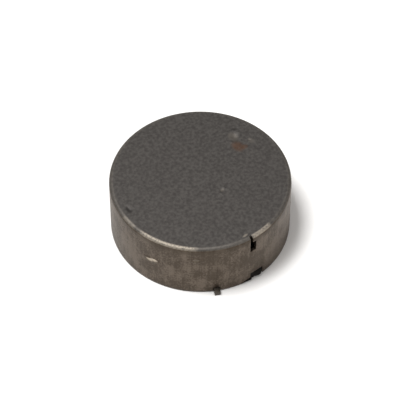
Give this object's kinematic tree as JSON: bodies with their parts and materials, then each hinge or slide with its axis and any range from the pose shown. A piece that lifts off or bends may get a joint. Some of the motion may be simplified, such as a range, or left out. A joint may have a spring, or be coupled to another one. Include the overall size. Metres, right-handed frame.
{
  "type": "vibration coin motor",
  "caption": "Flat coin-shaped vibration motor: drawn steel case on a base plate, with an off-balance wound rotor, leaf brushes and a ring magnet inside.",
  "frame": {"origin": "centre of the flat resting face of the base plate, on the shaft axis", "axes": "+Z along the shaft, from the base plate to the closed end of the case; -Y towards the notch where the leads come out; +X towards one of the three ears"},
  "size_m": [0.0103, 0.0101, 0.0037],
  "materials": {
    "case_steel": "satin",
    "base_steel": "satin",
    "ground_steel": "polished",
    "magnet_nickel": "satin",
    "amber_film": "satin",
    "solder_tin": "gloss",
    "brush_alloy": "satin",
    "washer_polymer": "satin",
    "sintered_bronze": "matte",
    "board_laminate": "satin",
    "plated_gold": "polished",
    "enamelled_copper": "gloss",
    "tungsten_alloy": "satin",
    "moulded_resin": "matte",
    "sealing_compound": "satin"
  },
  "bodies": {
    "stator": {"case_cup": "case_steel", "lead_seal": "sealing_compound", "base_plate": "base_steel", "shaft": "ground_steel", "ring_magnet": "magnet_nickel", "brush_flex_circuit": "amber_film", "lead_land_a": "solder_tin", "lead_land_b": "solder_tin", "brush_foot_a": "brush_alloy", "brush_foot_b": "brush_alloy", "brush_solder_a": "solder_tin", "brush_solder_b": "solder_tin"},
    "rotor": {"sleeve_bearing": "sintered_bronze", "commutator_board": "board_laminate", "commutator_segment_1": "plated_gold", "commutator_segment_2": "plated_gold", "commutator_segment_3": "plated_gold", "commutator_segment_4": "plated_gold", "commutator_segment_5": "plated_gold", "commutator_segment_6": "plated_gold", "coil_a": "enamelled_copper", "coil_b": "enamelled_copper", "eccentric_weight": "tungsten_alloy", "rotor_frame": "moulded_resin", "detent_pin": "ground_steel", "coil_solder_1": "solder_tin", "coil_solder_2": "solder_tin", "coil_solder_3": "solder_tin", "coil_solder_4": "solder_tin"},
    "brush_a": {"brush_arm_a": "brush_alloy"},
    "brush_b": {"brush_arm_b": "brush_alloy"},
    "lower_washer": {"lower_thrust_washer": "washer_polymer"},
    "upper_washer": {"upper_thrust_washer": "washer_polymer"}
  },
  "joints": [
    {"name": "rotor_spin", "type": "hinge", "parent": "stator", "child": "rotor", "pos_m": [0, 0, 0.0024], "axis": [0, 0, 1], "continuous": true},
    {"name": "brush_a_flex", "type": "hinge", "parent": "stator", "child": "brush_a", "pos_m": [-0.00107, -0.00133, 0.0004], "axis": [-1, 0, 0], "range_deg": [0, 6], "stiffness_Nm_per_rad": 0.0006},
    {"name": "brush_b_flex", "type": "hinge", "parent": "stator", "child": "brush_b", "pos_m": [0.00107, -0.00133, 0.0004], "axis": [-1, 0, 0], "range_deg": [0, 6], "stiffness_Nm_per_rad": 0.0006},
    {"name": "lower_washer_spin", "type": "hinge", "parent": "stator", "child": "lower_washer", "pos_m": [0, 0, 0.00126], "axis": [0, 0, 1], "continuous": true},
    {"name": "upper_washer_spin", "type": "hinge", "parent": "stator", "child": "upper_washer", "pos_m": [0, 0, 0.00343], "axis": [0, 0, 1], "continuous": true}
  ]
}
